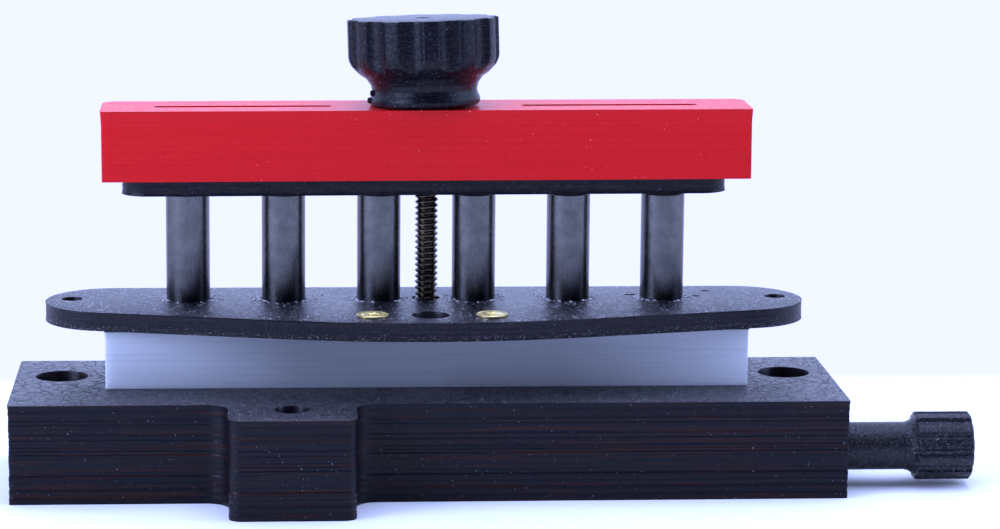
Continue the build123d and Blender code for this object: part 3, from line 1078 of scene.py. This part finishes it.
piece(
    "side_knob_printed",
    build_side_knob,
    side_black,
    "side_knob",
    ["side_knob"],
    side_axis,
)

# ---- side_screw ----
side_tip = box_mm("side_screw")[0].x
side_crest, side_root, side_pitch = 2.39, 1.9, 0.8
side_thread_start, side_thread_end, tip_radius = 4.0, 80.0, 1.6


def build_side_screw(bm):
    threaded(bm, side_tip + side_thread_start, side_thread_end, side_crest, side_root, side_pitch)
    tip = [
        (tip_radius - 0.2, side_tip),
        (tip_radius, side_tip + 0.2),
        (tip_radius, side_tip + side_thread_start + 0.5),
    ]
    turned(bm, tip, 40)


piece(
    "side_screw_threaded",
    build_side_screw,
    oxide,
    "side_knob",
    ["side_screw"],
    side_axis,
)

# ---- CAD nodes that stay, with a better material ----
for node, material in {
    "angle_shim": black,
    "clamp_nut": zinc,
    "side_nut": zinc,
    "spacer_screws": oxide,
    "thrust_washer": oxide,
    "bar_retainer": oxide,
    "side_jaw": black,
}.items():
    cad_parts[node].material_slots[0].material = material

# ---- Floor, which turns into a glowing backdrop behind the tool ----
LIGHT = (0.80, 0.96, 1.70)


def build_floor():
    size, backdrop_start, backdrop_full = 4.0, 76, 84
    material, tree, shader, place = new_material("floor")
    depth = add(tree, "SeparateXYZ", {0: place}).outputs["Y"]
    far = spread(tree, depth, backdrop_start, backdrop_full)
    tree.links.new(blend_colour(tree, far, (0.93,) * 3, (0.0,) * 3), shader.inputs["Base Color"])
    tree.links.new(far, shader.inputs["Emission Strength"])
    shader.inputs["Emission Color"].default_value = (0.885, 0.95, 1.75, 1.0)
    shader.inputs["Roughness"].default_value = 0.9
    shader.inputs["Specular IOR Level"].default_value = 0.0
    mesh = bpy.data.meshes.new("floor")
    corners = [(-size, -size, 0), (size, -size, 0), (size, size, 0), (-size, size, 0)]
    mesh.from_pydata(corners, [], [(0, 1, 2, 3)])
    mesh.materials.append(material)
    floor = bpy.data.objects.new("floor", mesh)
    bpy.context.scene.collection.objects.link(floor)
    floor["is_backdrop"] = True


build_floor()


# ---- Sky and lights ----
def build_sky():
    """A sky that is dim in front and low down, and brighter behind and overhead."""
    world = bpy.data.worlds.new("studio")
    bpy.context.scene.world = world
    world.use_nodes = True
    sky = world.node_tree
    direction = add(sky, "TexCoord").outputs["Generated"]
    parts = add(sky, "SeparateXYZ", {0: direction}).outputs
    raised = add(sky, "Math", {0: parts["Z"], 1: 0.9}, operation="MULTIPLY").outputs[0]
    lift = add(sky, "Math", {0: parts["Y"], 1: raised}, operation="ADD").outputs[0]
    strength = spread(sky, lift, 0.05, 0.7, 0.03, 1.15)
    background = sky.nodes["Background"]
    sky.links.new(strength, background.inputs["Strength"])
    background.inputs["Color"].default_value = (*LIGHT, 1.0)


build_sky()


def softbox(name, place, aim, size, power):
    """A rectangular light of the given size and power at a place, aimed at a point."""
    light = bpy.data.lights.new(name, "AREA")
    light.shape = "RECTANGLE"
    light.size, light.size_y = size
    light.energy = power
    light.color = LIGHT
    made = bpy.data.objects.new(name, light)
    made.location = place
    made.rotation_euler = (Vector(aim) - Vector(place)).to_track_quat("-Z", "Y").to_euler()
    bpy.context.scene.collection.objects.link(made)


softbox("top_light", (0.05, 0.0, 0.9), (0, 0, 0), (0.9, 0.7), 4.0)
softbox("left_light", (-0.68, -0.40, 0.33), (-0.05, 0, 0.03), (0.4, 0.4), 5.0)
softbox("right_light", (0.85, -0.10, 0.35), (0.05, 0, 0.03), (0.5, 0.5), 3.0)

# ---- Camera ----
camera_data = bpy.data.cameras.new("camera")
camera = bpy.data.objects.new("camera", camera_data)
bpy.context.scene.collection.objects.link(camera)
bpy.context.scene.camera = camera
focal_length, picture_width = 3419.5, 1000
heading, dip, roll = -0.0728, 0.1742, 0.0093
camera_data.sensor_width = 36.0
camera_data.lens = focal_length * camera_data.sensor_width / picture_width
camera_data.clip_start, camera_data.clip_end = 0.01, 20.0
aim = [Euler((0, 0, heading)), Euler((math.pi / 2 - dip, 0, 0)), Euler((0, 0, roll))]
turn = aim[0].to_matrix() @ aim[1].to_matrix() @ aim[2].to_matrix()
camera.matrix_world = Matrix.Translation((-0.0316, -0.6210, 0.1482)) @ turn.to_4x4()

bpy.context.scene.view_settings.view_transform = "Standard"

low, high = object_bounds()
